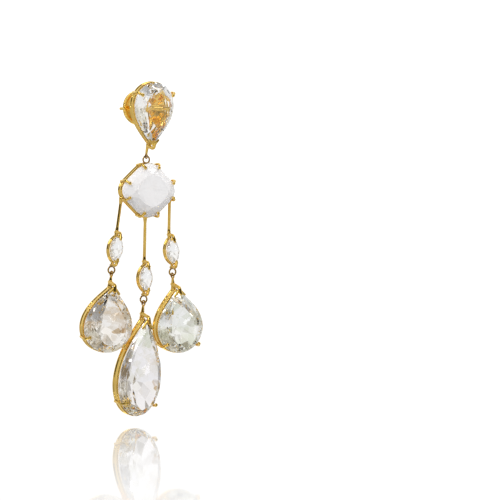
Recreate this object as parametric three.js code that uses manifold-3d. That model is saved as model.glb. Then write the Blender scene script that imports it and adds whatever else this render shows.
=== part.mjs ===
// Chandelier drop earring: a pear stud, a cushion on a short link, and three strands that carry pear drops.
// Millimetres. X runs right as the wearer's viewer sees it, Y runs back through the lobe and Z runs up.
// The origin is on the ear post, where the lobe sits.
import * as THREE from "three";
import { ConvexGeometry } from "three/addons/geometries/ConvexGeometry.js";
import { mergeVertices } from "three/addons/utils/BufferGeometryUtils.js";
import Module from "manifold-3d";

// Fits
const SEAT_GAP = 0.2; // between a stone and the metal that holds it
const TIP_GAP = 0.1; // between a prong's bead and the crown under it
const LINK_GAP = 0.15; // between two interlocked rings
const POST_GAP = 0.1; // between the post and the nut's bore
const SPECK = 0.01; // cubic millimetres, the smallest solid that stands by itself

// Stones: girdle width and length, head (widest level to round end), crown and pavilion depth,
// girdle points round the outline, and the table: its width and length as shares of the girdle's,
// and how far it is shifted towards the round end
const STUD_STONE = {
  width: 10.8, length: 15.4, head: 5.6, crown: 2.1, pavilion: 3.6, points: 24,
  table: { across: 0.56, along: 0.56, down: 0 },
};
const LEFT_PEAR = {
  width: 12.7, length: 16.2, head: 6.2, crown: 2.2, pavilion: 4.3, points: 28,
  table: { across: 0.46, along: 0.48, down: 1.2 },
};
const MIDDLE_PEAR = {
  width: 11.9, length: 24.2, head: 8.6, crown: 2.4, pavilion: 4.6, points: 28,
  table: { across: 0.6, along: 0.74, down: 0.4 },
};
const RIGHT_PEAR = {
  width: 12.5, length: 16.0, head: 6.2, crown: 2.2, pavilion: 4.3, points: 28,
  table: { across: 0.52, along: 0.66, down: 0.5 },
};
const MARQUISE = {
  width: 3.5, length: 6.8, crown: 0.8, pavilion: 1.3, points: 16,
  table: { across: 0.55, along: 0.55, down: 0 },
};
// The cushion stands on a corner: halfWidth and halfHeight reach to its rounded corners, and
// rounding is the share of a side that each corner takes.
const CUSHION = {
  halfWidth: 7.3, halfHeight: 6.7, rounding: 0.36, crown: 2.0, pavilion: 3.9, points: 24,
  table: { across: 0.62, along: 0.62, down: 0 },
};
const GIRDLE = 0.35; // height of every girdle band
const FLANK = { rise: 0.42, tipWidth: 0.4, tipRise: 0.74 }; // shape of a pear's flank, as shares
// The crown's middle row: its height as a share of the crown, and how far it swells outwards.
const CROWN_ROW = { height: 0.56, swell: 0.04 };
// The pavilion's rows as shares of the girdle and of the pavilion's depth
const PAVILION_ROWS = [
  { share: 0.66, depth: 0.5 },
  { share: 0.3, depth: 0.86 },
  { share: 0.03, depth: 1 },
];

// Settings: rail section, first rail behind the girdle, distance between the two rails, prong and
// claw wire, and how far outside the point a claw starts
const PEAR_METAL = {
  rail: 0.6, wall: 0.55, behind: 1.05, pitch: 1.7, prong: 0.8, claw: 1.0, root: 1.0,
};
const STUD_METAL = {
  rail: 0.5, wall: 0.5, behind: 0.9, pitch: 1.4, prong: 0.8, claw: 0.95, root: 0.48,
};
const CUSHION_METAL = { rail: 0.5, wall: 0.5, behind: 0.9, pitch: 1.3, prong: 0.75 };
const MARQUISE_METAL = { rail: 0.45, wall: 0.4, behind: 0.85, pitch: 0.9, claw: 0.85, root: 0.68 };
const RAIL_PROUD = 0.15; // how far a rail stands outside the girdle
const GROOVE = { depth: 0.2, wall: 0.18 }; // the groove between the rails and the wall behind it
const BEND = 0.7; // how far out a prong stands at its bends, as a share of its place at the girdle
const PRONG_REACH = 0.5; // how far a prong's tip lies over the crown
const PRONG_BEAD = 1.15; // bead at a prong's tip, as a share of the prong wire
const CLAW_REACH = 0.9; // how far a point's claw lies over the crown
// A claw's arm down each flank: its share of the way round, and its wire as a share of the claw's
const CLAW_ARM = { along: 0.045, wire: 0.7 };

// Places of the prongs, as shares of the way round from the point of the stone, clockwise
const STUD_PRONGS = [0.36, 0.64];
const CUSHION_PRONG_SPREAD = 0.055; // each side of a corner

// Post and bridge, with the bridge's knees as a share of its half span
const POST = { wire: 0.8, tip: 18.2, point: 0.6 }; // tip is the distance behind the stud's girdle
const BRIDGE = { wire: 0.8, knee: 0.6, steps: 10 };
const SEAT_BEHIND_GIRDLE = 6.9; // the lobe's place on the post
const POST_BELOW_HEAD = 0.4; // the post's axis under the stud stone's widest level
const STUD_PITCH = 6.5; // degrees, the stud's point leans back

// Nut: its rim behind the stud's girdle, and radius and depth of its turned profile, which has a
// dished front, a rolled rim, a domed back and a collar
const NUT_FRONT = 7.9;
const NUT_PROFILE = [
  [1.45, 0.5], [3.45, 0.17], [4.0, 0], [4.3, 0.2], [4.3, 0.7],
  [3.87, 0.9], [2.6, 1.05], [1.45, 1.2], [1.28, 3.6],
];

// Links: wire and outside diameter
const STUD_LOOP = { wire: 0.4, outer: 1.5 };
const RING = { wire: 0.45, outer: 2.2 };
const EYE = { wire: 0.46, outer: 2.25 };
const BAIL = { wire: 0.45, outer: 1.75 };
const POINT_TO_LOOP = 2.9; // point of the stud's rails down to the centre of its loop
const LOOP_BEHIND_POINT = 0.8; // and back to the plane of the drop's ring

// Tapered necks: width at the link or bar, and at the setting
const STUD_NECK = { link: 0.6, setting: 0.95 };
const BAR_NECK = { link: 0.92, setting: 1.1 };
const EYE_NECK = { link: 0.6, setting: 0.85 };
const BAIL_NECK = { link: 0.63, setting: 1.5 };

// Drop frame: the ring's plane behind the cushion's girdle, the lean of the whole drop, the bars
const RING_BEHIND_CUSHION = 1.7;
const RING_BEHIND_MARQUISE = 1.2;
const DROP_PITCH = 2.4;
const BAR_WIRE = 0.8;
const BAR_OUTSIDE = 1.04; // how far out an outer bar stands, as a share of its corner's reach
const BAR_TO_MARQUISE = 4.9; // end of a bar to the marquise's centre
const MARQUISE_TO_EYE = 5.25; // marquise's centre to the eye's centre

// Pear drops: plane of the bail behind the girdle, and lean
const BAIL_BEHIND_GIRDLE = 2.3;
const PEAR_PITCH = 6.5;

// Strands: corner of the cushion, bar length, lean of bar and marquise, the drop's stone and
// prongs, its hinge to the stone's point, and how it hangs. A positive lean or roll goes left,
// angles in degrees.
const STRANDS = [
  {
    name: "left", corner: -1, bar: 7.5, barLean: 7.6, lean: 7.6,
    pear: LEFT_PEAR, prongs: [0.385, 0.655], toPoint: 3.1, yaw: -5, roll: 5,
  },
  {
    name: "middle", corner: 0, bar: 10.1, barLean: 0, lean: 0,
    pear: MIDDLE_PEAR, prongs: [0.4, 0.605], toPoint: 3.7, yaw: 3, roll: 3.5,
  },
  {
    name: "right", corner: 1, bar: 8.1, barLean: 0, lean: -7,
    pear: RIGHT_PEAR, prongs: [0.395, 0.64], toPoint: 3.2, yaw: 0, roll: -8,
  },
];

// Facets of the round work
const WIRE_SIDES = 6;
const PRONG_STEPS = 4;
const RING_SEGMENTS = 12;
const NUT_SEGMENTS = 24;

const wasm = await Module();
wasm.setup();
const rad = THREE.MathUtils.degToRad;

const gold = () =>
  new THREE.MeshStandardMaterial({ color: 0xe0ad45, metalness: 1, roughness: 0.22 });
const quartz = (color) =>
  new THREE.MeshStandardMaterial({ color, metalness: 0, roughness: 0.05 });

// A closed geometry as a solid, with its shared vertices merged.
function solidOf(geometry) {
  const bare = geometry.index ? geometry.toNonIndexed() : geometry.clone();
  bare.deleteAttribute("normal");
  bare.deleteAttribute("uv");
  const merged = mergeVertices(bare, 1e-4);
  const vertProperties = new Float32Array(merged.attributes.position.array);
  const triVerts = new Uint32Array(merged.index.array);
  return new wasm.Manifold(new wasm.Mesh({ numProp: 3, vertProperties, triVerts }));
}

const joinAll = (solids) => solids.reduce((sum, next) => sum.add(next));

// Joins closed geometries into one soldered piece. Solder fills the pockets that they close off,
// whose skins face inwards and have a volume below zero, and takes up specks.
function solder(geometries) {
  const skins = joinAll(geometries.map(solidOf)).decompose();
  const joined = joinAll(skins.filter((skin) => skin.volume() > SPECK));
  const { vertProperties, triVerts } = joined.getMesh();
  const piece = new THREE.BufferGeometry();
  piece.setAttribute("position", new THREE.BufferAttribute(vertProperties, 3));
  piece.setIndex(new THREE.BufferAttribute(triVerts, 1));
  return piece;
}

// A round wire along points, with flat ends.
function wire(points, diameter, steps = 1) {
  const section = new THREE.Shape();
  for (let i = 0; i < WIRE_SIDES; i++) {
    const angle = (2 * Math.PI * i) / WIRE_SIDES;
    const [x, y] = [Math.cos(angle) * diameter / 2, Math.sin(angle) * diameter / 2];
    if (i === 0) section.moveTo(x, y);
    else section.lineTo(x, y);
  }
  const path = points.length === 2
    ? new THREE.LineCurve3(...points)
    : new THREE.CatmullRomCurve3(points, false, "centripetal");
  return new THREE.ExtrudeGeometry(section, { extrudePath: path, steps });
}

const at = (x, y, z) => new THREE.Vector3(x, y, z);
const bead = (place, diameter) =>
  new THREE.IcosahedronGeometry(diameter / 2, 0).translate(place.x, place.y, place.z);

// A ring of wire round a centre. It faces forward, or sideways when turned.
function ring({ wire: thickness, outer }, centre, sideways = false) {
  const geometry = new THREE.TorusGeometry(
    (outer - thickness) / 2, thickness / 2, WIRE_SIDES, RING_SEGMENTS,
  ).rotateX(Math.PI / 2);
  if (sideways) geometry.rotateZ(Math.PI / 2);
  return geometry.translate(centre.x, centre.y, centre.z);
}

// Outlines, in x and z round the stone's widest level

// A pear with its point up: two flanks and a half ellipse.
function pearPath({ width, length, head }) {
  const half = width / 2;
  const tail = length - head;
  const path = new THREE.Path().moveTo(0, tail);
  path.bezierCurveTo(
    FLANK.tipWidth * half, FLANK.tipRise * tail, half, FLANK.rise * tail, half, 0);
  path.absellipse(0, 0, half, head, 0, Math.PI, true);
  path.bezierCurveTo(
    -half, FLANK.rise * tail, -FLANK.tipWidth * half, FLANK.tipRise * tail, 0, tail);
  return path;
}

// A marquise: two arcs that meet in points above and below.
function marquisePath({ width, length }) {
  const radius = (length ** 2 + width ** 2) / (4 * width);
  const inset = radius - width / 2;
  const half = Math.asin(length / 2 / radius);
  const path = new THREE.Path().moveTo(0, length / 2);
  path.absarc(-inset, 0, radius, half, -half, true);
  path.absarc(inset, 0, radius, Math.PI + half, Math.PI - half, true);
  return path;
}

// The cushion: four straight sides between rounded corners, from the middle of the top corner.
function cushionPath({ halfWidth, halfHeight, rounding }) {
  const toApex = 1 / (1 - rounding / 2);
  const [x, z] = [halfWidth * toApex, halfHeight * toApex];
  const apexes = [[0, z], [x, 0], [0, -z], [-x, 0]].map(([u, v]) => new THREE.Vector2(u, v));
  const path = new THREE.Path().moveTo(0, halfHeight);
  apexes.forEach((from, i) => {
    const to = apexes[(i + 1) % 4];
    const along = (share) => from.clone().lerp(to, share);
    const end = to.clone().divideScalar(toApex);
    const [start, stop] = [along(rounding), along(1 - rounding)];
    const [first, last] = [along(rounding / 2), along(1 - rounding / 2)];
    path.quadraticCurveTo(first.x, first.y, start.x, start.y);
    path.lineTo(stop.x, stop.y);
    path.quadraticCurveTo(last.x, last.y, end.x, end.y);
  });
  return path;
}

// Points round a closed path, without the repeated last one.
const pointsRound = (path, count) => path.getSpacedPoints(count).slice(0, count);

// An outline moved outwards by a distance, with its corners kept sharp.
function offsetOutline(outline, distance) {
  const count = outline.length;
  const side = THREE.ShapeUtils.isClockWise(outline) ? 1 : -1;
  return outline.map((point, i) => {
    const into = point.clone().sub(outline[(i + count - 1) % count]).normalize();
    const out = outline[(i + 1) % count].clone().sub(point).normalize();
    const normals = [into, out].map((edge) => new THREE.Vector2(-edge.y, edge.x));
    const mean = normals[0].add(normals[1]).normalize();
    const corner = Math.max(mean.dot(new THREE.Vector2(-out.y, out.x)), 0.5);
    return mean.multiplyScalar((side * distance) / corner).add(point);
  });
}

// Rows of a stone are its outline by shares across and along, shifted down.
const girdleRow = { across: 1, along: 1, down: 0 };
const crownRow = ({ table: { across, along, down } }) => ({
  across: (1 + across) / 2 + CROWN_ROW.swell,
  along: (1 + along) / 2 + CROWN_ROW.swell,
  down: down / 2,
});

// A stone as the hull of its facet rows at their depths. Rows of half as many points leave out
// each second point.
function cutStone(outline, stone) {
  const { crown, pavilion, table } = stone;
  const rows = [
    { ...table, depth: -GIRDLE / 2 - crown, from: 0, step: 2 },
    { ...crownRow(stone), depth: -GIRDLE / 2 - crown * CROWN_ROW.height, from: 1, step: 2 },
    { ...girdleRow, depth: -GIRDLE / 2, from: 0, step: 1 },
    { ...girdleRow, depth: GIRDLE / 2, from: 0, step: 1 },
    ...PAVILION_ROWS.map(({ share, depth }, i) => ({
      across: share, along: share, down: 0, depth: GIRDLE / 2 + pavilion * depth,
      from: i % 2, step: 2,
    })),
  ];
  const corners = [];
  for (const { across, along, down, depth, from, step } of rows)
    for (let i = from; i < outline.length; i += step)
      corners.push(at(outline[i].x * across, depth, outline[i].y * along - down));
  return new ConvexGeometry(corners);
}

// A closed band that follows a clockwise outline. It stands proud of the outline by a distance, and
// its middle is at the given depth.
function band(outline, { proud, wall, height }, depth) {
  const shape = new THREE.Shape(offsetOutline(outline, proud));
  shape.holes.push(new THREE.Path(offsetOutline(outline, proud - wall).reverse()));
  return new THREE.ExtrudeGeometry(shape, { depth: height, bevelEnabled: false })
    .rotateX(Math.PI / 2)
    .translate(0, depth + height / 2, 0);
}

// The two rails of a setting, and the wall of the groove between them.
function rails(outline, { rail, wall, behind, pitch }) {
  const edge = { proud: RAIL_PROUD, wall, height: rail };
  const web = { proud: RAIL_PROUD - GROOVE.depth, wall: GROOVE.wall, height: pitch };
  return [
    band(outline, edge, behind),
    band(outline, edge, behind + pitch),
    band(outline, web, behind + pitch / 2),
  ];
}

// How steeply the crown rises from the girdle at a place on the outline.
function crownSlope(stone, place, inward) {
  const { across, along, down } = crownRow(stone);
  const row = new THREE.Vector2(place.x * across, place.y * along - down);
  return (stone.crown * CROWN_ROW.height) / row.sub(place).dot(inward);
}

// A prong that rises from the back rail past the girdle and folds over the crown.
function prong(place, inward, metal, slope) {
  const reach = (inset, depth) =>
    at(place.x + inward.x * inset, depth, place.y + inward.y * inset);
  const outside = -SEAT_GAP - metal.prong / 2;
  const over = -GIRDLE / 2 - SEAT_GAP - metal.prong / 2;
  const lift = (TIP_GAP + (metal.prong * PRONG_BEAD) / 2) * Math.hypot(1, slope);
  const tip = reach(PRONG_REACH, -GIRDLE / 2 - lift - PRONG_REACH * slope);
  const path = [
    reach(-RAIL_PROUD, metal.behind + metal.pitch),
    reach(outside * BEND, metal.behind),
    reach(outside, GIRDLE / 2),
    reach(outside * BEND, over),
    tip,
  ];
  return [wire(path, metal.prong, PRONG_STEPS), bead(tip, metal.prong * PRONG_BEAD)];
}

// Prongs at shares of the way round a path.
function prongsRound(path, shares, metal, stone) {
  return shares.flatMap((share) => {
    const place = path.getPointAt(share);
    const tangent = path.getTangentAt(share);
    const inward = new THREE.Vector2(tangent.y, -tangent.x);
    return prong(place, inward, metal, crownSlope(stone, place, inward));
  });
}

// The folded claw at a stone's point: a hook that starts behind, at a root outside the point, folds
// over it, and has a short arm down each flank.
function pointClaw(path, metal, stone) {
  const { root } = metal;
  const point = path.getPointAt(0);
  const slope = crownSlope(stone, point, new THREE.Vector2(0, -1));
  const outside = SEAT_GAP + metal.claw / 2;
  const over = -GIRDLE / 2 - SEAT_GAP - metal.claw / 2;
  const nose = at(0, over - CLAW_REACH * slope, point.y - CLAW_REACH);
  const hook = wire([
    at(0, metal.behind + metal.pitch, point.y + root),
    at(0, metal.behind, point.y + (root + outside) / 2),
    at(0, GIRDLE / 2, point.y + outside),
    at(0, over, point.y + outside * BEND),
    nose,
  ], metal.claw, PRONG_STEPS);
  const arms = [CLAW_ARM.along, 1 - CLAW_ARM.along].map((share) => {
    const foot = path.getPointAt(share);
    return wire([at(0, over, point.y), at(foot.x, over, foot.y)], metal.claw * CLAW_ARM.wire);
  });
  return [hook, ...arms];
}

// A tapered neck from a link to a setting.
function neck(from, to, { link, setting }) {
  const run = to.clone().sub(from);
  const turn = new THREE.Quaternion().setFromUnitVectors(at(0, -1, 0), run.clone().normalize());
  return new THREE.CylinderGeometry(link / 2, setting / 2, run.length(), WIRE_SIDES)
    .applyQuaternion(turn)
    .translate(...from.clone().add(to).divideScalar(2).toArray());
}

// A named piece of the finished jewel.
function piece(name, geometry, material) {
  const mesh = new THREE.Mesh(geometry, material);
  mesh.name = name;
  return mesh;
}

// An empty group, put in its place.
function placed(position, rotation, order = "XYZ") {
  const group = new THREE.Group();
  group.position.copy(position);
  group.rotation.set(...rotation.map(rad), order);
  group.updateMatrix();
  return group;
}

// Stud: made with its point up, then turned point down and leaned back.
const studFrame = placed(at(0, -SEAT_BEHIND_GIRDLE, POST_BELOW_HEAD), [STUD_PITCH, 180, 0]);
const studPath = pearPath(STUD_STONE);
const studOutline = pointsRound(studPath, STUD_STONE.points);
const studBack = STUD_METAL.behind + STUD_METAL.pitch;
const studPoint = at(0, studBack, STUD_STONE.length - STUD_STONE.head)
  .applyMatrix4(studFrame.matrix);

// The axis that the drop swings about: the bottom wire of the stud's loop.
const loopRadius = (STUD_LOOP.outer - STUD_LOOP.wire) / 2;
const dropHinge = at(
  0, studPoint.y + LOOP_BEHIND_POINT, studPoint.z - POINT_TO_LOOP - loopRadius);

function studSetting() {
  const head = [
    ...rails(studOutline, STUD_METAL),
    ...prongsRound(studPath, STUD_PRONGS, STUD_METAL, STUD_STONE),
    ...pointClaw(studPath, STUD_METAL, STUD_STONE),
  ].map((geometry) => geometry.applyMatrix4(studFrame.matrix));
  const railDepth = studBack - SEAT_BEHIND_GIRDLE;
  const apex = GIRDLE / 2 + STUD_STONE.pavilion + SEAT_GAP + BRIDGE.wire / 2 - SEAT_BEHIND_GIRDLE;
  const foot = STUD_STONE.width / 2 + RAIL_PROUD - STUD_METAL.wall / 2;
  const knee = foot * BRIDGE.knee;
  const bridge = wire([
    at(-foot, railDepth, 0),
    at(-knee, apex - BRIDGE.wire / 2, 0),
    at(0, apex, 0),
    at(knee, apex - BRIDGE.wire / 2, 0),
    at(foot, railDepth, 0),
  ], BRIDGE.wire, BRIDGE.steps);
  const tip = POST.tip - SEAT_BEHIND_GIRDLE;
  const taper = { link: POST.wire / 2, setting: POST.wire };
  const loopCentre = dropHinge.clone().setZ(dropHinge.z + loopRadius);
  const loopTop = loopCentre.clone().setZ(loopCentre.z + loopRadius);
  return solder([
    ...head, bridge,
    wire([at(0, apex, 0), at(0, tip - POST.point, 0)], POST.wire),
    neck(at(0, tip, 0), at(0, tip - POST.point, 0), taper),
    ring(STUD_LOOP, loopCentre, true),
    neck(loopTop, studPoint, STUD_NECK),
  ]);
}

// The nut, bored for the post.
function earNut() {
  const bore = POST.wire / 2 + POST_GAP;
  const [front, back] = [NUT_PROFILE[0], NUT_PROFILE.at(-1)].map(([, depth]) => depth);
  const profile = [[bore, front], ...NUT_PROFILE, [bore, back], [bore, front]]
    .map(([radius, depth]) => new THREE.Vector2(radius, depth));
  return new THREE.LatheGeometry(profile, NUT_SEGMENTS);
}

// Drop frame, with its origin at its hinge and the plane of its ring at y = 0.
const ringRadius = (RING.outer - RING.wire) / 2;
const ringCentre = -(ringRadius - (RING.wire + STUD_LOOP.wire) / 2 - LINK_GAP);
const cushionCentre = at(
  0, -RING_BEHIND_CUSHION, ringCentre - ringRadius - CUSHION.halfHeight + RAIL_PROUD / 2);
const cushionShape = cushionPath(CUSHION);
const cushionOutline = pointsRound(cushionShape, CUSHION.points);

// Puts a piece made round a stone's centre in its place, leaning in the plane of the frame.
const leaning = (geometry, place, lean) =>
  geometry.rotateY(rad(lean)).translate(place.x, place.y, place.z);

// A point down a strand from another.
const down = (from, length, lean) =>
  at(from.x - length * Math.sin(rad(lean)), from.y, from.z - length * Math.cos(rad(lean)));

// The stations of a strand: bar's ends, marquise and eye.
function stations({ corner, bar, barLean, lean }) {
  const foot = cushionShape.getPointAt(0.5 - corner * (0.25 - CUSHION_PRONG_SPREAD));
  const top = at(foot.x * BAR_OUTSIDE, 0, cushionCentre.z + foot.y);
  const end = down(top, bar, barLean);
  const marquise = down(end, BAR_TO_MARQUISE, lean);
  const eye = down(marquise, MARQUISE_TO_EYE, lean);
  const hinge = at(eye.x, eye.y, eye.z - (EYE.outer - EYE.wire) / 2);
  return { top, end, marquise, eye, hinge };
}

function cushionSetting() {
  const prongShares = [0, 0.25, 0.5, 0.75].flatMap((corner) =>
    [(1 + corner - CUSHION_PRONG_SPREAD) % 1, corner + CUSHION_PRONG_SPREAD]);
  const prongs = prongsRound(cushionShape, prongShares, CUSHION_METAL, CUSHION);
  const back = CUSHION_METAL.behind + CUSHION_METAL.pitch;
  const ties = [1, -1].map((side) => wire([
    at(0, CUSHION_METAL.behind, side * CUSHION.halfHeight),
    at(0, back, side * CUSHION.halfHeight),
  ], CUSHION_METAL.wall));
  return [...rails(cushionOutline, CUSHION_METAL), ...prongs, ...ties]
    .map((geometry) => leaning(geometry, cushionCentre, 0));
}

const marquisePlace = ({ marquise }) => marquise.clone().setY(-RING_BEHIND_MARQUISE);

// A bar, its marquise setting and the eye below.
function strandMetal(strand) {
  const places = stations(strand);
  const path = marquisePath(MARQUISE);
  const outline = pointsRound(path, MARQUISE.points);
  const upperClaw = () => pointClaw(path, MARQUISE_METAL, MARQUISE);
  const lowerClaw = upperClaw().map((geometry) => geometry.rotateY(Math.PI));
  const setting = [...rails(outline, MARQUISE_METAL), ...upperClaw(), ...lowerClaw]
    .map((geometry) => leaning(geometry, marquisePlace(places), strand.lean));
  const half = MARQUISE.length / 2;
  const shoulder = down(places.end, -BAR_WIRE / 4, strand.lean);
  const eyeTop = at(places.eye.x, 0, places.eye.z + (EYE.outer - EYE.wire) / 2);
  return [
    wire([places.top, places.end], BAR_WIRE),
    neck(shoulder, down(places.marquise, -half, strand.lean), BAR_NECK),
    neck(eyeTop, down(places.marquise, half, strand.lean), EYE_NECK),
    ring(EYE, places.eye),
    ...setting,
  ];
}

const dropFrame = () => solder([
  ring(RING, at(0, 0, ringCentre)),
  ...cushionSetting(),
  ...STRANDS.flatMap(strandMetal),
]);

// Pear drops, with their origin at the hinge and the bail's plane at y = 0.
const pearCentre = ({ pear, toPoint }) =>
  at(0, -BAIL_BEHIND_GIRDLE, -(toPoint + pear.length - pear.head));

function pearSetting(strand) {
  const { pear, prongs, toPoint } = strand;
  const path = pearPath(pear);
  const outline = pointsRound(path, pear.points);
  const setting = [
    ...rails(outline, PEAR_METAL),
    ...prongsRound(path, prongs, PEAR_METAL, pear),
    ...pointClaw(path, PEAR_METAL, pear),
  ].map((geometry) => leaning(geometry, pearCentre(strand), 0));
  const bailRadius = (BAIL.outer - BAIL.wire) / 2;
  const bailTop = (EYE.wire + BAIL.wire) / 2 + LINK_GAP;
  const bailCentre = at(0, 0, bailTop - bailRadius);
  const bailFoot = at(0, 0, bailCentre.z - bailRadius);
  return solder([
    ...setting,
    ring(BAIL, bailCentre, true),
    neck(bailFoot, at(0, 0, -toPoint), BAIL_NECK),
  ]);
}

const jewel = new THREE.Group();

const stud = new THREE.Group();
stud.add(piece("stud_setting", studSetting(), gold()));
studFrame.add(piece("stud_stone", cutStone(studOutline, STUD_STONE), quartz(0xe9eef0)));
const nut = piece("ear_nut", earNut(), gold());
nut.position.y = NUT_FRONT - SEAT_BEHIND_GIRDLE;
jewel.add(stud, studFrame, nut);

const drop = placed(dropHinge, [DROP_PITCH, 0, 0]);
drop.add(piece("drop_frame", dropFrame(), gold()));
const cushion = piece("cushion_stone", cutStone(cushionOutline, CUSHION), quartz(0xf2eef2));
cushion.position.copy(cushionCentre);
drop.add(cushion);

for (const strand of STRANDS) {
  const places = stations(strand);
  const outline = pointsRound(marquisePath(MARQUISE), MARQUISE.points);
  const marquise = piece(
    `marquise_stone_${strand.name}`, cutStone(outline, MARQUISE), quartz(0xf0f0f2));
  marquise.position.copy(marquisePlace(places));
  marquise.rotation.y = rad(strand.lean);
  const hanging = placed(
    places.hinge, [PEAR_PITCH - DROP_PITCH, strand.roll, strand.yaw], "ZXY");
  const stone = piece(
    `pear_stone_${strand.name}`,
    cutStone(pointsRound(pearPath(strand.pear), strand.pear.points), strand.pear),
    quartz(0xe6e8e2));
  stone.position.copy(pearCentre(strand));
  hanging.add(piece(`pear_setting_${strand.name}`, pearSetting(strand), gold()), stone);
  drop.add(marquise, hanging);
}
jewel.add(drop);

export default jewel;
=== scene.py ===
import math

import bpy
from mathutils import Matrix, Vector


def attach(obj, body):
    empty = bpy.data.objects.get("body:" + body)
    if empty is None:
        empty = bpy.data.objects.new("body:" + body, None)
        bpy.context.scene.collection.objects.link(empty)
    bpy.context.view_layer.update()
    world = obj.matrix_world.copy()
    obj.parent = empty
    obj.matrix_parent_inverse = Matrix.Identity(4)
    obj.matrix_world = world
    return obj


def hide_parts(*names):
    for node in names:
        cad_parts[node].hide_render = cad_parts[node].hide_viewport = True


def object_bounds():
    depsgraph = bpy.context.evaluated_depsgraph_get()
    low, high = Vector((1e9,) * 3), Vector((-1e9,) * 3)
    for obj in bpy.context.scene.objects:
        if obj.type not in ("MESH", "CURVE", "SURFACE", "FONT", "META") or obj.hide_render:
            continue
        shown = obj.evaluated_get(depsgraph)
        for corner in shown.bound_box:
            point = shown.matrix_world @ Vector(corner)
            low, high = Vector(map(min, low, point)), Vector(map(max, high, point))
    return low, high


# Chandelier drop earring. The stones are the frame's own solids; the gold is drawn again as
# smooth, soldered wire work, with the same sizes. Metal is made in millimetres.
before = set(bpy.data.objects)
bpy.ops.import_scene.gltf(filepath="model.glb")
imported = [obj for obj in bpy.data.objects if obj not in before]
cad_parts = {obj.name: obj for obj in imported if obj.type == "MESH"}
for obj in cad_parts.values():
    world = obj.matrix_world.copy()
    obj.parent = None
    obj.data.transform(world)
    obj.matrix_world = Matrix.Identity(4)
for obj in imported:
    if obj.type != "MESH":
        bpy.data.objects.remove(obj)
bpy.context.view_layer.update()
MM = 0.001

# Camera: angles of view, distance, width of the picture there, and the aim in millimetres
AZIMUTH, ELEVATION, DISTANCE, PICTURE_WIDTH = -30, 1, 800, 122.5
AIM = Vector((20.36, -18.46, -35.0))
SENSOR, CLIP_NEAR, CLIP_FAR = 36, 0.05, 20

# Stage: the ways to the camera's side and across it, and the lamps in metres and watts
FRONT, ASIDE = (-0.5, -0.866, 0), (0.866, -0.5, 0)
FLOOR_GAP, FLOOR_SIZE = 1.5, 8
LAMP_AIM = Vector((0, 0, -0.035))
LAMPS = [
    dict(name="key", place=(-0.45, -0.25, 0.35), power=0.9, size=0.25),
    dict(name="fill", place=(0.32, -0.25, 0.5), power=0.3, size=0.15),
    dict(name="top", place=(0.05, 0.1, 0.5), power=0.4, size=0.2),
]

# Sizes of the settings, as in the solids
GIRDLE, SEAT_GAP, TIP_GAP, RAIL_PROUD, BEND, PRONG_BEAD = 0.35, 0.2, 0.1, 0.15, 0.7, 1.15
GROOVE_DEPTH, GROOVE_WALL = 0.2, 0.18
CROWN_HEIGHT, CROWN_SWELL = 0.56, 0.04
# A stone's table is its shares across and along, and its shift down.
STUD_STONE = dict(width=10.8, length=15.4, head=5.6, crown=2.1, table=(0.56, 0.56, 0), pavilion=3.6)
LEFT_PEAR = dict(width=12.7, length=16.2, head=6.2, crown=2.2, table=(0.46, 0.48, 1.2))
MIDDLE_PEAR = dict(width=11.9, length=24.2, head=8.6, crown=2.4, table=(0.6, 0.74, 0.4))
RIGHT_PEAR = dict(width=12.5, length=16.0, head=6.2, crown=2.2, table=(0.52, 0.66, 0.5))
MARQUISE = dict(width=3.5, length=6.8, crown=0.8, table=(0.55, 0.55, 0))
CUSHION = dict(half_width=7.3, half_height=6.7, rounding=0.36, crown=2.0, table=(0.62, 0.62, 0))
PEAR_METAL = dict(rail=0.6, wall=0.55, behind=1.05, pitch=1.7, prong=0.8, claw=1.0, root=1.0)
STUD_METAL = dict(rail=0.5, wall=0.5, behind=0.9, pitch=1.4, prong=0.8, claw=0.95, root=0.48)
CUSHION_METAL = dict(rail=0.5, wall=0.5, behind=0.9, pitch=1.3, prong=0.75)
MARQUISE_METAL = dict(rail=0.45, wall=0.4, behind=0.85, pitch=0.9, claw=0.85, root=0.68)
STUD_PRONGS, CUSHION_PRONG_SPREAD = (0.36, 0.64), 0.055
SEAT, POST_DROP, POST_TIP, POST_POINT, POST_WIRE = 6.9, 0.4, 18.2, 0.6, 0.8
BRIDGE_KNEE, STUD_PITCH = 0.6, 6.5
NUT_FRONT, NUT_BORE = 7.9, 0.5
NUT_PROFILE = [(1.45, 0.5), (3.45, 0.17), (4.0, 0), (4.3, 0.2), (4.3, 0.7),
               (3.87, 0.9), (2.6, 1.05), (1.45, 1.2), (1.28, 3.6)]
STUD_LOOP, RING, EYE, BAIL = (0.4, 1.5), (0.45, 2.2), (0.46, 2.25), (0.45, 1.75)
POINT_TO_LOOP, LOOP_BACK, LINK_GAP = 2.9, 0.8, 0.15
RING_BEHIND_CUSHION, RING_BEHIND_MARQUISE, DROP_PITCH = 1.7, 1.2, 2.4
BAR_WIRE, BAR_OUTSIDE, BAR_TO_MARQUISE, MARQUISE_TO_EYE = 0.8, 1.04, 4.9, 5.25
BAIL_BEHIND_GIRDLE, PEAR_PITCH = 2.3, 6.5
STRANDS = [
    dict(name="left", corner=-1, bar=7.5, bar_lean=7.6, lean=7.6, pear=LEFT_PEAR,
         prongs=(0.385, 0.655), to_point=3.1, yaw=-5, roll=5),
    dict(name="middle", corner=0, bar=10.1, bar_lean=0, lean=0, pear=MIDDLE_PEAR,
         prongs=(0.4, 0.605), to_point=3.7, yaw=3, roll=3.5),
    dict(name="right", corner=1, bar=8.1, bar_lean=0, lean=-7, pear=RIGHT_PEAR,
         prongs=(0.395, 0.64), to_point=3.2, yaw=0, roll=-8),
]

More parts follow.
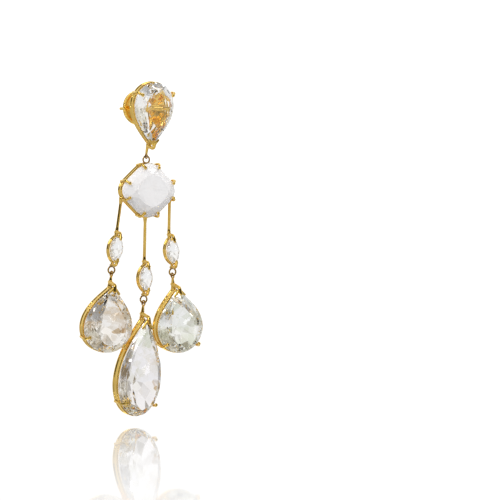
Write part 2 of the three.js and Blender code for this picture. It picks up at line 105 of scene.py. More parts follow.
# How the wires are worked: shares of a wire at its two ends, reach over the crown in millimetres
PRONG_TAPER, PRONG_REACH = (0.95, 0.85), 0.5
CLAW_TAPER, CLAW_REACH = 0.85, 0.9
ARM_TAPER, ARM_PLACE = (0.8, 0.6), 0.045  # a claw's arms end at this share of the way round
BRIDGE_TAPER, POST_END_TAPER, POST_NOSE = 0.98, 0.4, POST_WIRE / 5
BAR_SWELL, BAR_SWELL_ABOVE, BAR_SWELL_BELOW = 1.5, 0.1, 1.3
# Diameters of the short necks, from the ring's end to the setting's
LOOP_NECK, MARQUISE_NECK, EYE_NECK, BAIL_NECK = (0.6, 0.92), (0.85, 1.05), (0.55, 0.85), (0.6, 1.3)
RAIL_SQUARE = 0.55  # how square a rail's section is, from round at 0 to sharp at 1

# Fineness of the drawn metal
VOXEL, SMOOTHING, SMOOTHING_SHARE = 0.094, 5, 0.5
POLISHED_AWAY = 0.06  # what the wheel takes off the outside of a prong
FLANK = ((0.4, 0.74), (1, 0.42))  # inner points of a pear's flank, by half width and tail
FLANK_STEPS, HEAD_STEPS, ARC_STEPS, CORNER_STEPS = 60, 80, 60, 20
OUTLINE_POINTS, RING_POINTS, WIRE_SIDES, WIRE_STEP, BEAD_ROWS = 160, 40, 12, 0.25, 8
TANGENT_REACH = 0.004
NUT_SIDES, NUT_ROUNDING, NUT_ROUND_STEPS = 96, 0.22, 4

# Gold: its two tones, painted shade in the crevices, and painted shade on the rings with a soft
# edge
DEEP_GOLD, PALE_GOLD = (0.88, 0.57, 0.125), (0.97, 0.68, 0.18)
CREVICE_SHADE, CREVICE_SHADE_REACH, CREVICE_SHADE_SAMPLES = (0.3, 0.14, 0.03), 0.5, 8
RING_SHADE_GOLD, RING_SHADE_REACH, RING_SHADE_FADE = (0.52, 0.32, 0.08), 1.75, 0.5
SCRATCH_DEPTH, SCRATCH_STRENGTH = 0.03, 0.03

# Quartz: clear and cloudy tints, and the share that stays clear
QUARTZ_IOR = 1.544
CLOUD_EDGE, FIELD_EDGE = 0.16, 0.3
CLOUDED = {
    "stud_stone": dict(name="stud_quartz", clear=(1, 1, 1), cloudy=(0.84, 0.82, 0.76),
                       scale=420, cover=0.56),
    "cushion_stone": dict(name="cushion_quartz", clear=(0.99, 0.98, 0.985),
                          cloudy=(0.96, 0.935, 0.93), scale=300, cover=0.5,
                          transmission=0.3, roughness=0.02),
}
for strand in STRANDS:
    CLOUDED["marquise_stone_" + strand["name"]] = dict(
        name="marquise_quartz_" + strand["name"], clear=(1, 1, 1), cloudy=(0.8, 0.79, 0.78),
        scale=700, cover=0.57)
FIELD = 1.5  # width of a field of one tint in a pear stone, in millimetres
SPOT_STRENGTH, SPOT_CORE = 1.8, 0.5
TAN, BROWN, SMOKE = (0.74, 0.6, 0.44), (0.42, 0.26, 0.12), (0.38, 0.38, 0.41)
MOSS, OLIVE = (0.66, 0.69, 0.55), (0.32, 0.3, 0.18)
# A spot is its share of the stone's width from the left, share of its height, reach and colour.
GROWN = {
    "pear_stone_left": dict(
        name="left_quartz", clear=(0.99, 0.97, 0.945), cloudy=(0.78, 0.7, 0.6), cover=0.6,
        spots=[(0.18, 0.74, 1.0, SMOKE), (0.7, 0.62, 2.0, TAN), (0.35, 0.1, 1.5, SMOKE),
               (0.06, 0.45, 1.4, TAN), (0.52, 0.84, 1.4, TAN), (0.8, 0.35, 1.3, BROWN)]),
    "pear_stone_middle": dict(
        name="middle_quartz", clear=(0.96, 0.945, 0.97), cloudy=(0.8, 0.78, 0.7), cover=0.62,
        spots=[(0.6, 0.8, 2.6, MOSS), (0.88, 0.31, 1.5, BROWN), (0.8, 0.52, 2.2, TAN),
               (0.05, 0.4, 1.0, SMOKE), (0.14, 0.6, 1.5, MOSS)]),
    "pear_stone_right": dict(
        name="right_quartz", clear=(0.95, 0.955, 0.945), cloudy=(0.74, 0.77, 0.66), cover=0.55,
        spots=[(0.8, 0.52, 1.6, OLIVE), (0.22, 0.75, 2.2, MOSS), (0.08, 0.3, 2.0, MOSS),
               (0.22, 0.86, 0.9, OLIVE), (0.5, 0.12, 2.0, MOSS)]),
}

# The tent's brightness from behind the jewel (0) to the camera's side (1), as the gold mirrors it
# and as the stones show it, and the gaps between its cloths
FOR_METAL = [(0.08, 1.0), (0.25, 0.7), (0.52, 0.42), (0.66, 0.05)]
FOR_STONES = [(0.35, (0.98, 0.97, 0.95)), (0.6, (0.88, 0.86, 0.79)), (0.8, (0.68, 0.65, 0.56)),
              (1, (0.46, 0.43, 0.35))]
CLOTH_GAPS, CLOTH_SCALE, CLOTH_DETAIL = [(0.38, (0.42, 0.4, 0.36)), (0.5, 1)], 3.2, 2
TENT_LIGHT = 1.25
# The floor's shine on the gold and for the eye, and how much of the latter a stone passes on
FLOOR_SHINE, THROUGH_STONE, FLOOR_ROUGHNESS = (0, 1, 0.6, 1.1), 0.6, 0.03
# The gloss patch round the jewel mirrors it and also lays a darker pool there: a painted shadow.
# The share of gloss on the floor: from and to a distance in metres, from and to a share
GLOSS_AWAY = (0, 0.3, 0.68, 0.08)
GLOSS_BEHIND = (-0.07, 0, 0.1, 1)
GLOSS_ASIDE = (0.01, 0.075, 1, 0.08)


# Outlines in x and z, clockwise from the top, by share of the way round

class Outline:
    """A closed outline with places by share of its length."""

    def __init__(self, dense):
        self.points = dense
        self.runs = [0.0]
        for a, b in zip(dense, dense[1:] + dense[:1]):
            self.runs.append(self.runs[-1] + (b - a).length)

    def at(self, share):
        goal = (share % 1) * self.runs[-1]
        i = max(k for k, run in enumerate(self.runs[:-1]) if run <= goal)
        part = (goal - self.runs[i]) / max(self.runs[i + 1] - self.runs[i], 1e-9)
        return self.points[i].lerp(self.points[(i + 1) % len(self.points)], part)

    def inward(self, share):
        tangent = (self.at(share + TANGENT_REACH) - self.at(share - TANGENT_REACH)).normalized()
        return Vector((tangent.y, -tangent.x))


def bezier(a, b, c, d, steps):
    """Points of a cubic curve, without its end."""
    out = []
    for t in (i / steps for i in range(steps)):
        u = 1 - t
        out.append(a * u**3 + b * 3 * u * u * t + c * 3 * u * t * t + d * t**3)
    return out


def pear_outline(width, length, head, **_):
    """Point up: two flanks and a half ellipse."""
    half, tail = width / 2, length - head
    inner = [Vector((across * half, up * tail)) for across, up in FLANK]
    flank = [Vector((0, tail)), *inner, Vector((half, 0))]
    down = bezier(*flank, FLANK_STEPS)
    low = [Vector((half * math.cos(a), -head * math.sin(a)))
           for a in (math.pi * i / HEAD_STEPS for i in range(HEAD_STEPS))]
    up = [Vector((-p.x, p.y)) for p in reversed(down[1:] + [flank[3]])]
    return Outline(down + low + up)


def marquise_outline(width, length, **_):
    """Two arcs that meet in points above and below."""
    radius = (length**2 + width**2) / (4 * width)
    inset, half = radius - width / 2, math.asin(length / 2 / radius)
    right = [Vector((radius * math.cos(a) - inset, radius * math.sin(a)))
             for a in (half - 2 * half * i / ARC_STEPS for i in range(ARC_STEPS))]
    return Outline(right + [-p for p in right])


def cushion_outline(half_width, half_height, rounding, **_):
    """Four straight sides between rounded corners, from the middle of the top corner."""
    to_apex = 1 / (1 - rounding / 2)
    x, z = half_width * to_apex, half_height * to_apex
    apexes = [Vector(p) for p in ((0, z), (x, 0), (0, -z), (-x, 0))]
    out = []
    for i, apex in enumerate(apexes):
        before, after = apexes[i - 1], apexes[(i + 1) % 4]
        into, away = apex.lerp(before, rounding), apex.lerp(after, rounding)
        for t in (k / CORNER_STEPS for k in range(CORNER_STEPS + 1)):
            out.append(into.lerp(apex, t).lerp(apex.lerp(away, t), t))
    top = max(range(len(out)), key=lambda i: out[i].y)
    return Outline(out[top:] + out[:top])


# Wire work: every function adds closed shells to a list of (points, faces)

def skin(rows, columns, closed):
    """Faces between rings of points, with the last ring joined to the first one if closed."""
    faces = []
    for i in range(rows if closed else rows - 1):
        j = (i + 1) % rows
        for k in range(columns):
            m = (k + 1) % columns
            faces.append((i * columns + k, i * columns + m, j * columns + m, j * columns + k))
    return faces


def sweep(shells, path, radii, closed=False, across=None, square=0.0):
    """A wire along path. radii gives (across, along) half sizes per point; across fixes one of
    the section's axes, and square makes the section a rounded square."""
    count, points = len(path), []
    side = None
    for i, p in enumerate(path):
        before = path[i - 1] if closed or i else p
        after = path[(i + 1) % count] if closed or i < count - 1 else p
        tangent = (after - before).normalized()
        if across is not None:
            side = across - tangent * across.dot(tangent)
        elif side is None:
            side = tangent.orthogonal()
        else:
            side = side - tangent * side.dot(tangent)
        side = side.normalized()
        other = tangent.cross(side)
        wide, high = radii[i]
        for k in range(WIRE_SIDES):
            a = 2 * math.pi * (k + 0.5) / WIRE_SIDES
            c, s = math.cos(a), math.sin(a)
            stretch = 1 + square * (1 / max(abs(c), abs(s)) - 1)
            points.append(p + side * (c * wide * stretch) + other * (s * high * stretch))
    faces = skin(count, WIRE_SIDES, closed)
    if not closed:
        faces.append(tuple(reversed(range(WIRE_SIDES))))
        last = (count - 1) * WIRE_SIDES
        faces.append(tuple(last + k for k in range(WIRE_SIDES)))
    shells.append((points, faces))


def bead(shells, place, radius):
    """A round bead."""
    points, faces = [], []
    for r in range(1, BEAD_ROWS):
        a = math.pi * r / BEAD_ROWS
        for k in range(WIRE_SIDES):
            b = 2 * math.pi * k / WIRE_SIDES
            points.append(place + Vector((math.sin(a) * math.cos(b), math.sin(a) * math.sin(b),
                                          math.cos(a))) * radius)
    top, low = len(points), len(points) + 1
    points += [place + Vector((0, 0, radius)), place - Vector((0, 0, radius))]
    for r in range(BEAD_ROWS - 2):
        for k in range(WIRE_SIDES):
            m = (k + 1) % WIRE_SIDES
            faces.append((r * WIRE_SIDES + k, (r + 1) * WIRE_SIDES + k,
                          (r + 1) * WIRE_SIDES + m, r * WIRE_SIDES + m))
    for k in range(WIRE_SIDES):
        m = (k + 1) % WIRE_SIDES
        faces.append((top, k, m))
        faces.append((low, (BEAD_ROWS - 2) * WIRE_SIDES + m, (BEAD_ROWS - 2) * WIRE_SIDES + k))
    shells.append((points, faces))


def smooth_path(knots):
    """A smooth path through knots, with points about a step apart."""
    ends = [knots[0] * 2 - knots[1], *knots, knots[-1] * 2 - knots[-2]]
    path = []
    for a, b, c, d in zip(ends, ends[1:], ends[2:], ends[3:]):
        steps = max(2, round((c - b).length / WIRE_STEP))
        for t in (i / steps for i in range(steps)):
            path.append(0.5 * (b * 2 + (c - a) * t + (a * 2 - b * 5 + c * 4 - d) * t * t
                               + (b * 3 - a - c * 3 + d) * t**3))
    path.append(knots[-1].copy())
    return path


def wire(shells, knots, start, end=None):
    """A round wire through knots that tapers from one diameter to another, with round ends."""
    end = start if end is None else end
    path = smooth_path(knots)
    last = len(path) - 1
    radii = [(start + (end - start) * i / last) / 2 for i in range(last + 1)]
    sweep(shells, path, [(r, r) for r in radii])
    bead(shells, path[0], start / 2)
    bead(shells, path[-1], end / 2)


def ring(shells, size, centre, sideways=False):
    """A ring of wire, facing forward or sideways."""
    thickness, outer = size
    radius = (outer - thickness) / 2
    path = []
    for i in range(RING_POINTS):
        a = 2 * math.pi * i / RING_POINTS
        u, v = radius * math.cos(a), radius * math.sin(a)
        path.append(centre + (Vector((0, u, v)) if sideways else Vector((u, 0, v))))
    sweep(shells, path, [(thickness / 2,) * 2] * RING_POINTS, closed=True,
          across=Vector((1, 0, 0)) if sideways else Vector((0, 1, 0)))


def moved(shells, matrix):
    return [([matrix @ p for p in points], faces) for points, faces in shells]


# Settings, made round a stone's centre with y as the depth behind its girdle

def rails(shells, outline, metal):
    """Two rails, bands with rounded edges, and the wall of the groove between them."""
    behind, pitch = metal["behind"], metal["pitch"]
    for depth, proud, wall, height, square in (
            (behind, RAIL_PROUD, metal["wall"], metal["rail"], RAIL_SQUARE),
            (behind + pitch, RAIL_PROUD, metal["wall"], metal["rail"], RAIL_SQUARE),
            (behind + pitch / 2, RAIL_PROUD - GROOVE_DEPTH, GROOVE_WALL, pitch, 1)):
        path = []
        for i in range(OUTLINE_POINTS):
            share = i / OUTLINE_POINTS
            p = outline.at(share) - outline.inward(share) * (proud - wall / 2)
            path.append(Vector((p.x, depth, p.y)))
        sweep(shells, path, [(height / 2, wall / 2)] * OUTLINE_POINTS,
              closed=True, across=Vector((0, 1, 0)), square=square)


def crown_slope(stone, place, inward):
    """How steeply the crown rises from the girdle at a place on the outline."""
    across, along, shift = stone["table"]
    row = Vector((place.x * ((1 + across) / 2 + CROWN_SWELL),
                  place.y * ((1 + along) / 2 + CROWN_SWELL) - shift / 2))
    return stone["crown"] * CROWN_HEIGHT / (row - place).dot(inward)


def prongs(shells, outline, shares, metal, stone):
    """Prongs from the back rail past the girdle and over the crown, with a bead at the tip."""
    outside = -SEAT_GAP - metal["prong"] / 2 + POLISHED_AWAY
    over = -GIRDLE / 2 - SEAT_GAP - metal["prong"] / 2
    for share in shares:
        place, inward = outline.at(share), outline.inward(share)
        slope = crown_slope(stone, place, inward)

        def reach(inset, depth):
            return Vector((place.x + inward.x * inset, depth, place.y + inward.y * inset))

        lift = (TIP_GAP + metal["prong"] * PRONG_BEAD / 2) * math.hypot(1, slope)
        tip = reach(PRONG_REACH, -GIRDLE / 2 - lift - PRONG_REACH * slope)
        wire(shells, [
            reach(-RAIL_PROUD, metal["behind"] + metal["pitch"]),
            reach(outside * BEND, metal["behind"]),
            reach(outside, GIRDLE / 2),
            reach(outside * BEND, over),
            tip,
        ], *(metal["prong"] * taper for taper in PRONG_TAPER))
        bead(shells, tip, metal["prong"] * PRONG_BEAD / 2)


def point_claw(shells, outline, metal, stone, upside_down=False):
    """The folded claw at a point: a hook over the point, and a short arm down each flank."""
    made = []
    point = outline.at(0)
    slope = crown_slope(stone, point, Vector((0, -1)))
    outside = SEAT_GAP + metal["claw"] / 2
    over = -GIRDLE / 2 - SEAT_GAP - metal["claw"] / 2
    nose = Vector((0, over - CLAW_REACH * slope, point.y - CLAW_REACH))
    wire(made, [
        Vector((0, metal["behind"] + metal["pitch"], point.y + metal["root"])),
        Vector((0, metal["behind"], point.y + (metal["root"] + outside) / 2)),
        Vector((0, GIRDLE / 2, point.y + outside)),
        Vector((0, over, point.y + outside * BEND)),
        nose,
    ], metal["claw"], metal["claw"] * CLAW_TAPER)
    for share in (ARM_PLACE, 1 - ARM_PLACE):
        foot = outline.at(share)
        wire(made, [Vector((0, over, point.y)), Vector((foot.x, over, foot.y))],
             *(metal["claw"] * taper for taper in ARM_TAPER))
    turn = Matrix.Rotation(math.pi, 4, "Y") if upside_down else Matrix.Identity(4)
    shells += moved(made, turn)


# Places, in the frame of the drop from its hinge down

def down(start, length, lean):
    """The point that lies a length down a leaning strand."""
    a = math.radians(lean)
    return start - Vector((math.sin(a), 0, math.cos(a))) * length


def turned(place, x=0, y=0, z=0, order="XYZ"):
    """A place with turns in degrees, the last axis of the order turned first."""
    angles, matrix = dict(X=x, Y=y, Z=z), Matrix.Translation(place)
    for axis in order:
        matrix = matrix @ Matrix.Rotation(math.radians(angles[axis]), 4, axis)
    return matrix


stud_place = turned(Vector((0, -SEAT, POST_DROP)), x=STUD_PITCH, y=180)
stud_back = STUD_METAL["behind"] + STUD_METAL["pitch"]
stud_point = stud_place @ Vector((0, stud_back, STUD_STONE["length"] - STUD_STONE["head"]))
loop_radius = (STUD_LOOP[1] - STUD_LOOP[0]) / 2
drop_hinge = Vector((0, stud_point.y + LOOP_BACK, stud_point.z - POINT_TO_LOOP - loop_radius))
drop_place = turned(drop_hinge, x=DROP_PITCH)
ring_radius = (RING[1] - RING[0]) / 2
ring_centre = -(ring_radius - (RING[0] + STUD_LOOP[0]) / 2 - LINK_GAP)
eye_radius = (EYE[1] - EYE[0]) / 2
cushion_shape = cushion_outline(**CUSHION)
cushion_centre = Vector((0, -RING_BEHIND_CUSHION,
                         ring_centre - ring_radius - CUSHION["half_height"] + RAIL_PROUD / 2))


def stations(strand):
    """The bar's ends, the marquise's centre and the eye's, in the frame of the drop."""
    foot = cushion_shape.at(0.5 - strand["corner"] * (0.25 - CUSHION_PRONG_SPREAD))
    top = Vector((foot.x * BAR_OUTSIDE, 0, cushion_centre.z + foot.y))
    end = down(top, strand["bar"], strand["bar_lean"])
    marquise = down(end, BAR_TO_MARQUISE, strand["lean"])
    return top, end, marquise, down(marquise, MARQUISE_TO_EYE, strand["lean"])


def hanging_place(strand):
    """Where a pear hangs: the lowest point of its eye, with the pear's own turns."""
    hinge = stations(strand)[3] - Vector((0, 0, eye_radius))
    return drop_place @ turned(hinge, x=PEAR_PITCH - DROP_PITCH, y=strand["roll"],
                               z=strand["yaw"], order="ZXY")


# The rings' centres, round which the gold is darkened as painted shade
SHADED_RING_CENTRES = [drop_place @ Vector((0, 0, ring_centre))]
SHADED_RING_CENTRES += [drop_place @ stations(strand)[3] for strand in STRANDS]


# The four kinds of soldered metal

def stud_metal():
    """The stud's setting with its bridge, post and lower loop."""
    outline, made = pear_outline(**STUD_STONE), []
    rails(made, outline, STUD_METAL)
    prongs(made, outline, STUD_PRONGS, STUD_METAL, STUD_STONE)
    point_claw(made, outline, STUD_METAL, STUD_STONE)
    made = moved(made, stud_place)
    apex = GIRDLE / 2 + STUD_STONE["pavilion"] + SEAT_GAP + POST_WIRE / 2 - SEAT
    foot = STUD_STONE["width"] / 2 + RAIL_PROUD - STUD_METAL["wall"] / 2
    knee, knee_depth = foot * BRIDGE_KNEE, apex - POST_WIRE / 2
    wire(made, [Vector(p) for p in (
        (-foot, stud_back - SEAT, 0), (-knee, knee_depth, 0), (0, apex, 0),
        (knee, knee_depth, 0), (foot, stud_back - SEAT, 0))], POST_WIRE * BRIDGE_TAPER)
    tip = POST_TIP - SEAT
    wire(made, [Vector((0, apex, 0)), Vector((0, tip - POST_POINT, 0))], POST_WIRE)
    wire(made, [Vector((0, tip - POST_POINT, 0)), Vector((0, tip - POST_NOSE, 0))],
         POST_WIRE, POST_WIRE * POST_END_TAPER)
    loop_centre = drop_hinge + Vector((0, 0, loop_radius))
    ring(made, STUD_LOOP, loop_centre, sideways=True)
    wire(made, [loop_centre + Vector((0, 0, loop_radius)), stud_point], *LOOP_NECK)
    return made


def cushion_setting():
    """Rails and prongs round the cushion, with a tie between the rails above and below."""
    made = []
    rails(made, cushion_shape, CUSHION_METAL)
    shares = [corner + side * CUSHION_PRONG_SPREAD
              for corner in (0, 0.25, 0.5, 0.75) for side in (-1, 1)]
    prongs(made, cushion_shape, shares, CUSHION_METAL, CUSHION)
    front = CUSHION_METAL["behind"]
    for side in (-1, 1):
        z = side * CUSHION["half_height"]
        wire(made, [Vector((0, front, z)), Vector((0, front + CUSHION_METAL["pitch"], z))],
             CUSHION_METAL["wall"])
    return made


def drop_metal():
    """The ring, the cushion's setting and the three strands down to their eyes."""
    made = []
    ring(made, RING, Vector((0, 0, ring_centre)))
    made += moved(cushion_setting(), Matrix.Translation(cushion_centre))
    outline = marquise_outline(**MARQUISE)
    half = MARQUISE["length"] / 2
    for strand in STRANDS:
        top, end, marquise, eye = stations(strand)
        lean, bar_lean = strand["lean"], strand["bar_lean"]
        setting = []
        rails(setting, outline, MARQUISE_METAL)
        point_claw(setting, outline, MARQUISE_METAL, MARQUISE)
        point_claw(setting, outline, MARQUISE_METAL, MARQUISE, upside_down=True)
        place = marquise - Vector((0, RING_BEHIND_MARQUISE, 0))
        made += moved(setting, turned(place, y=lean))
        wire(made, [top, end], BAR_WIRE)
        wire(made, [down(top, -BAR_SWELL_ABOVE, bar_lean), down(top, BAR_SWELL_BELOW, bar_lean)],
             BAR_WIRE * BAR_SWELL, BAR_WIRE)
        wire(made, [down(end, -BAR_WIRE / 4, lean), down(marquise, -half, lean)],
             *MARQUISE_NECK)
        wire(made, [eye + Vector((0, 0, eye_radius)), down(marquise, half, lean)], *EYE_NECK)
        ring(made, EYE, eye)
    return moved(made, drop_place)


def pear_metal(strand):
    """A pear's setting and its bail."""
    pear, made = strand["pear"], []
    outline = pear_outline(**pear)
    rails(made, outline, PEAR_METAL)
    prongs(made, outline, strand["prongs"], PEAR_METAL, pear)
    point_claw(made, outline, PEAR_METAL, pear)
    centre = Vector((0, -BAIL_BEHIND_GIRDLE, pear["head"] - pear["length"] - strand["to_point"]))
    made = moved(made, Matrix.Translation(centre))
    bail_radius = (BAIL[1] - BAIL[0]) / 2
    bail_centre = Vector((0, 0, (EYE[0] + BAIL[0]) / 2 + LINK_GAP - bail_radius))
    ring(made, BAIL, bail_centre, sideways=True)
    wire(made, [bail_centre - Vector((0, 0, bail_radius)),
                Vector((0, 0, -strand["to_point"]))], *BAIL_NECK)
    return moved(made, hanging_place(strand))


def rounded(profile):
    """A profile with its inner corners rounded."""
    points = [Vector(p) for p in profile]
    out = [points[0]]
    shares = [t / NUT_ROUND_STEPS for t in range(NUT_ROUND_STEPS + 1)]
    for a, b, c in zip(points, points[1:], points[2:]):
        start = b + (a - b).normalized() * min(NUT_ROUNDING, (a - b).length / 2)
        end = b + (c - b).normalized() * min(NUT_ROUNDING, (c - b).length / 2)
        out += [start.lerp(b, t).lerp(b.lerp(end, t), t) for t in shares]
    return out + [points[-1]]


def nut_metal():
    """The nut's profile turned round the post."""
    front, back = NUT_PROFILE[0][1], NUT_PROFILE[-1][1]
    profile = [Vector((NUT_BORE, front))] + rounded(NUT_PROFILE) + [Vector((NUT_BORE, back))]
    points = []
    for i in range(NUT_SIDES):
        a = 2 * math.pi * i / NUT_SIDES
        for radius, depth in profile:
            points.append((radius * math.cos(a), depth + NUT_FRONT - SEAT, radius * math.sin(a)))
    return [(points, skin(NUT_SIDES, len(profile), closed=True))]


# Meshes

def mesh_of(name, shells):
    mesh = bpy.data.meshes.new(name)
    points, faces = [], []
    for more, loops in shells:
        base = len(points)
        points += [tuple(p) for p in more]
        faces += [tuple(base + i for i in loop) for loop in loops]
    mesh.from_pydata(points, [], faces)
    return mesh


def finished(name, source, body, material, *nodes):
    """Shrinks a mesh from millimetres to metres and puts it on its body for the nodes it shows."""
    source.transform(Matrix.Scale(MM, 4))
    for polygon in source.polygons:
        polygon.use_smooth = True
    source.materials.clear()
    source.materials.append(material)
    obj = bpy.data.objects.new(name, source)
    bpy.context.scene.collection.objects.link(obj)
    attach(obj, body)
    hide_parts(*nodes)
    return obj


def soldered(name, shells, body, material, node):
    """Fuses the shells into one skin, as solder and polishing do; marks painted shade near rings.
    """
    rough = bpy.data.objects.new(name + "_rough", mesh_of(name + "_rough", shells))
    bpy.context.scene.collection.objects.link(rough)
    remesh = rough.modifiers.new("Fuse", "REMESH")
    remesh.mode, remesh.voxel_size = "VOXEL", VOXEL
    smooth = rough.modifiers.new("Polish", "SMOOTH")
    smooth.factor, smooth.iterations = SMOOTHING_SHARE, SMOOTHING
    evaluated = rough.evaluated_get(bpy.context.evaluated_depsgraph_get())
    mesh = bpy.data.meshes.new_from_object(evaluated)
    mesh.name = name
    bpy.data.objects.remove(rough)
    # Painted shade: each vertex gets a share that grows towards the nearest ring's centre.
    ring_shade_share = mesh.attributes.new("link", "FLOAT", "POINT")
    for vertex, value in zip(mesh.vertices, ring_shade_share.data):
        nearest = min((vertex.co - link).length for link in SHADED_RING_CENTRES)
        value.value = min(1, max(0, (RING_SHADE_REACH - nearest) / RING_SHADE_FADE))
    return finished(name, mesh, body, material, node)


# Shader nodes

def feed(tree, node, inputs):
    """Gives each named input of a node a value, or the socket that it reads."""
    for key, value in inputs.items():
        if isinstance(value, bpy.types.NodeSocket):
            tree.links.new(value, node.inputs[key])
        else:
            node.inputs[key].default_value = value


def add(tree, kind, inputs=None, **settings):
    """A new node with its settings and inputs."""
    node = tree.nodes.new("ShaderNode" + kind)
    for name, value in settings.items():
        setattr(node, name, value)
    feed(tree, node, inputs or {})
    return node


def new_material(name):
    """A material with its tree of nodes and its shader."""
    material = bpy.data.materials.new(name)
    material.use_nodes = True
    return material, material.node_tree, material.node_tree.nodes["Principled BSDF"]


def noise(tree, scale, detail=3.0, stretch=(1, 1, 1)):
    """Noise in the object's own space."""
    place = add(tree, "TexCoord").outputs["Object"]
    mapping = add(tree, "Mapping", {"Vector": place, "Scale": stretch}).outputs["Vector"]
    texture = {"Vector": mapping, "Scale": scale, "Detail": detail}
    return add(tree, "TexNoise", texture).outputs["Fac"]


def ramp(tree, value, stops):
    """A colour ramp with (position, colour) stops, where a number stands for a grey."""
    node = add(tree, "ValToRGB", {"Fac": value})
    elements = node.color_ramp.elements
    while len(elements) < len(stops):
        elements.new(0.5)
    for element, (position, colour) in zip(elements, stops):
        element.position = position
        element.color = (*colour, 1) if isinstance(colour, tuple) else (colour, colour, colour, 1)
    return node.outputs["Color"]


def mixed(tree, share, first, second):
    """Two colours mixed, the second one by a share."""
    first, second = ((*c, 1) if isinstance(c, tuple) else c for c in (first, second))
    inputs = {"Factor": share, "A": first, "B": second}
    return add(tree, "Mix", inputs, data_type="RGBA").outputs["Result"]


def measured(tree, operation, *vectors):
    """A number got from vectors, such as a length."""
    return add(tree, "VectorMath", dict(enumerate(vectors)), operation=operation).outputs["Value"]


def computed(tree, operation, *values):
    return add(tree, "Math", dict(enumerate(values)), operation=operation).outputs["Value"]


def ranged(tree, value, ends, **settings):
    """A value carried over from one range to another, and held at its ends."""
    names = ("From Min", "From Max", "To Min", "To Max")
    inputs = {"Value": value, **dict(zip(names, ends))}
    return add(tree, "MapRange", inputs, **settings).outputs["Result"]


# Materials

def gold():
    """Polished yellow gold with faint wear, and painted shade in crevices and round the rings."""
    material, tree, shader = new_material("polished_gold")
    tone = ramp(tree, noise(tree, scale=260), [(0.3, DEEP_GOLD), (0.7, PALE_GOLD)])
    # Painted shade: ambient occlusion darkens the gold in crevices and between parts.
    crevice = add(tree, "AmbientOcclusion", {"Distance": CREVICE_SHADE_REACH * MM},
                  samples=CREVICE_SHADE_SAMPLES, only_local=True)
    openness = ramp(tree, crevice.outputs["AO"], [(0.35, 0), (0.85, 1)])
    crevice_shaded = mixed(tree, openness, CREVICE_SHADE, tone)
    # Painted shade: the gold turns darker towards the rings' centres.
    ring_shade = add(tree, "Attribute", attribute_name="link").outputs["Fac"]
    wear = ramp(tree, noise(tree, scale=900, detail=5), [(0.35, 0.06), (0.75, 0.18)])
    scratches = noise(tree, scale=1500, detail=2, stretch=(1, 1, 0.25))
    bump = add(tree, "Bump", {"Strength": SCRATCH_STRENGTH, "Distance": SCRATCH_DEPTH * MM,
                              "Height": scratches})
    feed(tree, shader, {"Metallic": 1, "Roughness": wear, "Normal": bump.outputs["Normal"],
                        "Base Color": mixed(tree, ring_shade, crevice_shaded, RING_SHADE_GOLD)})
    return material


def new_quartz(name, transmission=1.0, roughness=0.0):
    """A material of cut quartz with its tree and shader, still without its tint."""
    material, tree, shader = new_material(name)
    feed(tree, shader, {"IOR": QUARTZ_IOR, "Transmission Weight": transmission,
                        "Roughness": roughness})
    return material, tree, shader


def clouded_quartz(name, clear, cloudy, scale, cover, **body):
    """Clear quartz with clouds of another tint over a share of it."""
    material, tree, shader = new_quartz(name, **body)
    clouds = noise(tree, scale, detail=6, stretch=(1, 1, 0.6))
    feed(tree, shader, {
        "Base Color": ramp(tree, clouds, [(cover, clear), (cover + CLOUD_EDGE, cloudy)])})
    return material


def spots_in(node, spots):
    """Spots given by share of the stone's width and height, as places seen from its front."""
    corners = [Vector(c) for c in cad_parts[node].bound_box]
    near, far = ([f(c[i] for c in corners) for i in range(3)] for f in (min, max))
    return [((near[0] + (far[0] - near[0]) * across, 0, near[2] + (far[2] - near[2]) * up),
             reach, colour) for across, up, reach, colour in spots]


def grown_quartz(node, name, clear, cloudy, cover, spots):
    """Quartz whose tints stand in angular fields, with deeper ones round the spots."""
    material, tree, shader = new_quartz(name)
    place = add(tree, "TexCoord").outputs["Object"]
    flat = add(tree, "VectorMath", {0: place, 1: (1, 0, 1)}, operation="MULTIPLY")
    fields = add(tree, "TexVoronoi", {"Vector": flat.outputs["Vector"],
                                      "Scale": 1 / (FIELD * MM)}).outputs
    chance = add(tree, "SeparateColor", {"Color": fields["Color"]}).outputs
    tint = ramp(tree, chance["Red"], [(cover, clear), (cover + FIELD_EDGE, cloudy)])
    for centre, reach, colour in spots_in(node, spots):
        away = measured(tree, "DISTANCE", fields["Position"], centre)
        near = ranged(tree, away, (reach * MM, reach * MM * SPOT_CORE, 0, SPOT_STRENGTH))
        tint = mixed(tree, computed(tree, "MULTIPLY", near, chance["Green"]), tint, colour)
    feed(tree, shader, {"Base Color": tint})
    return material


GOLD = gold()
STONES = {node: clouded_quartz(**quartz) for node, quartz in CLOUDED.items()}
STONES.update((node, grown_quartz(node, **quartz)) for node, quartz in GROWN.items())
for node, material in STONES.items():
    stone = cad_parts[node]
    stone.data.materials.clear()
    stone.data.materials.append(material)

soldered("gold_stud", stud_metal(), "stud", GOLD, "stud_setting")
soldered("gold_drop", drop_metal(), "drop", GOLD, "drop_frame")
for strand in STRANDS:
    soldered("gold_pear_" + strand["name"], pear_metal(strand), "pear_" + strand["name"], GOLD,
             "pear_setting_" + strand["name"])
finished("gold_nut", mesh_of("gold_nut", nut_metal()), "nut", GOLD, "ear_nut")


# Stage, light and camera

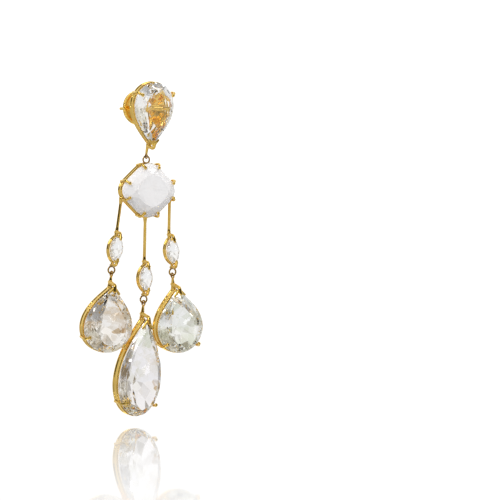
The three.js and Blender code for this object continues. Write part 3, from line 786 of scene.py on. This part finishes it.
def floor_material():
    """The floor shines for the eye, less through a stone, and least on the gold. Its gloss fades
    away from the jewel, and sooner behind it and to both sides."""
    material, tree, shader = new_material("pale_floor")
    tree.nodes.remove(shader)
    seen = add(tree, "LightPath").outputs
    looked_at = computed(tree, "MULTIPLY_ADD", seen["Is Transmission Ray"], THROUGH_STONE,
                         seen["Is Camera Ray"])
    glow = add(tree, "Emission", {"Strength": ranged(tree, looked_at, FLOOR_SHINE)})
    gloss = add(tree, "BsdfGlossy", {"Color": (1, 1, 1, 1), "Roughness": FLOOR_ROUGHNESS})
    place = add(tree, "TexCoord").outputs["Object"]
    aside = computed(tree, "ABSOLUTE", measured(tree, "DOT_PRODUCT", place, ASIDE))
    # Real gloss that mirrors the jewel, masked to a patch round it that also reads as a painted
    # shadow.
    share = ranged(tree, measured(tree, "LENGTH", place), GLOSS_AWAY)
    for fade in (ranged(tree, measured(tree, "DOT_PRODUCT", place, FRONT), GLOSS_BEHIND),
                 ranged(tree, aside, GLOSS_ASIDE, interpolation_type="SMOOTHSTEP")):
        share = computed(tree, "MULTIPLY", share, fade)
    both = add(tree, "MixShader", {"Fac": share, 1: glow.outputs[0], 2: gloss.outputs[0]})
    feed(tree, tree.nodes["Material Output"], {"Surface": both.outputs[0]})
    return material


def studio():
    """A white tent, mirrored by the gold as dim in front of the jewel and by the stones with the
    gaps between its cloths."""
    world = bpy.data.worlds.new("studio")
    world.use_nodes = True
    tree = world.node_tree
    direction = add(tree, "TexCoord").outputs["Generated"]
    toward = ranged(tree, measured(tree, "DOT_PRODUCT", direction, FRONT), (-1, 1, 0, 1))
    gaps = add(tree, "TexNoise", {"Vector": direction, "Scale": CLOTH_SCALE,
                                  "Detail": CLOTH_DETAIL}).outputs["Fac"]
    for_stones = add(tree, "VectorMath", {0: ramp(tree, toward, FOR_STONES),
                                          1: ramp(tree, gaps, CLOTH_GAPS)}, operation="MULTIPLY")
    seen = add(tree, "LightPath").outputs
    # A ray that has passed through a stone counts as glossy too.
    mirrored = mixed(tree, seen["Is Transmission Ray"], ramp(tree, toward, FOR_METAL),
                     for_stones.outputs["Vector"])
    light = tree.nodes["Background"]
    feed(tree, light, {"Color": (1, 1, 1, 1), "Strength": TENT_LIGHT})
    dome = add(tree, "Background", {"Color": mirrored})
    both = add(tree, "MixShader", {"Fac": seen["Is Glossy Ray"], 1: light.outputs[0],
                                   2: dome.outputs[0]})
    feed(tree, tree.nodes["World Output"], {"Surface": both.outputs[0]})
    return world


scene = bpy.context.scene
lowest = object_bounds()[0].z
bpy.ops.mesh.primitive_plane_add(size=FLOOR_SIZE, location=(0, 0, lowest - FLOOR_GAP * MM))
floor = bpy.context.object
floor.name = "floor"
floor.data.materials.append(floor_material())
scene.world = studio()

for lamp in LAMPS:
    light = bpy.data.lights.new(lamp["name"], "AREA")
    light.energy, light.size = lamp["power"], lamp["size"]
    holder = bpy.data.objects.new(lamp["name"], light)
    holder.location = lamp["place"]
    aim = LAMP_AIM - Vector(lamp["place"])
    holder.rotation_euler = aim.to_track_quat("-Z", "Y").to_euler()
    holder.visible_camera = holder.visible_transmission = False
    scene.collection.objects.link(holder)

azimuth, elevation = math.radians(AZIMUTH), math.radians(ELEVATION)
backward = Vector((math.sin(azimuth) * math.cos(elevation),
                   -math.cos(azimuth) * math.cos(elevation), math.sin(elevation)))
camera = bpy.data.objects.new("camera", bpy.data.cameras.new("camera"))
camera.data.sensor_width = SENSOR
camera.data.lens = SENSOR * DISTANCE / PICTURE_WIDTH
camera.data.clip_start, camera.data.clip_end = CLIP_NEAR, CLIP_FAR
camera.location = (AIM + backward * DISTANCE) * MM
camera.rotation_euler = (-backward).to_track_quat("-Z", "Y").to_euler()
scene.collection.objects.link(camera)
scene.camera = camera

scene.view_settings.view_transform = "Standard"
scene.cycles.max_bounces = 16
scene.cycles.transmission_bounces = 16
scene.cycles.glossy_bounces = 8
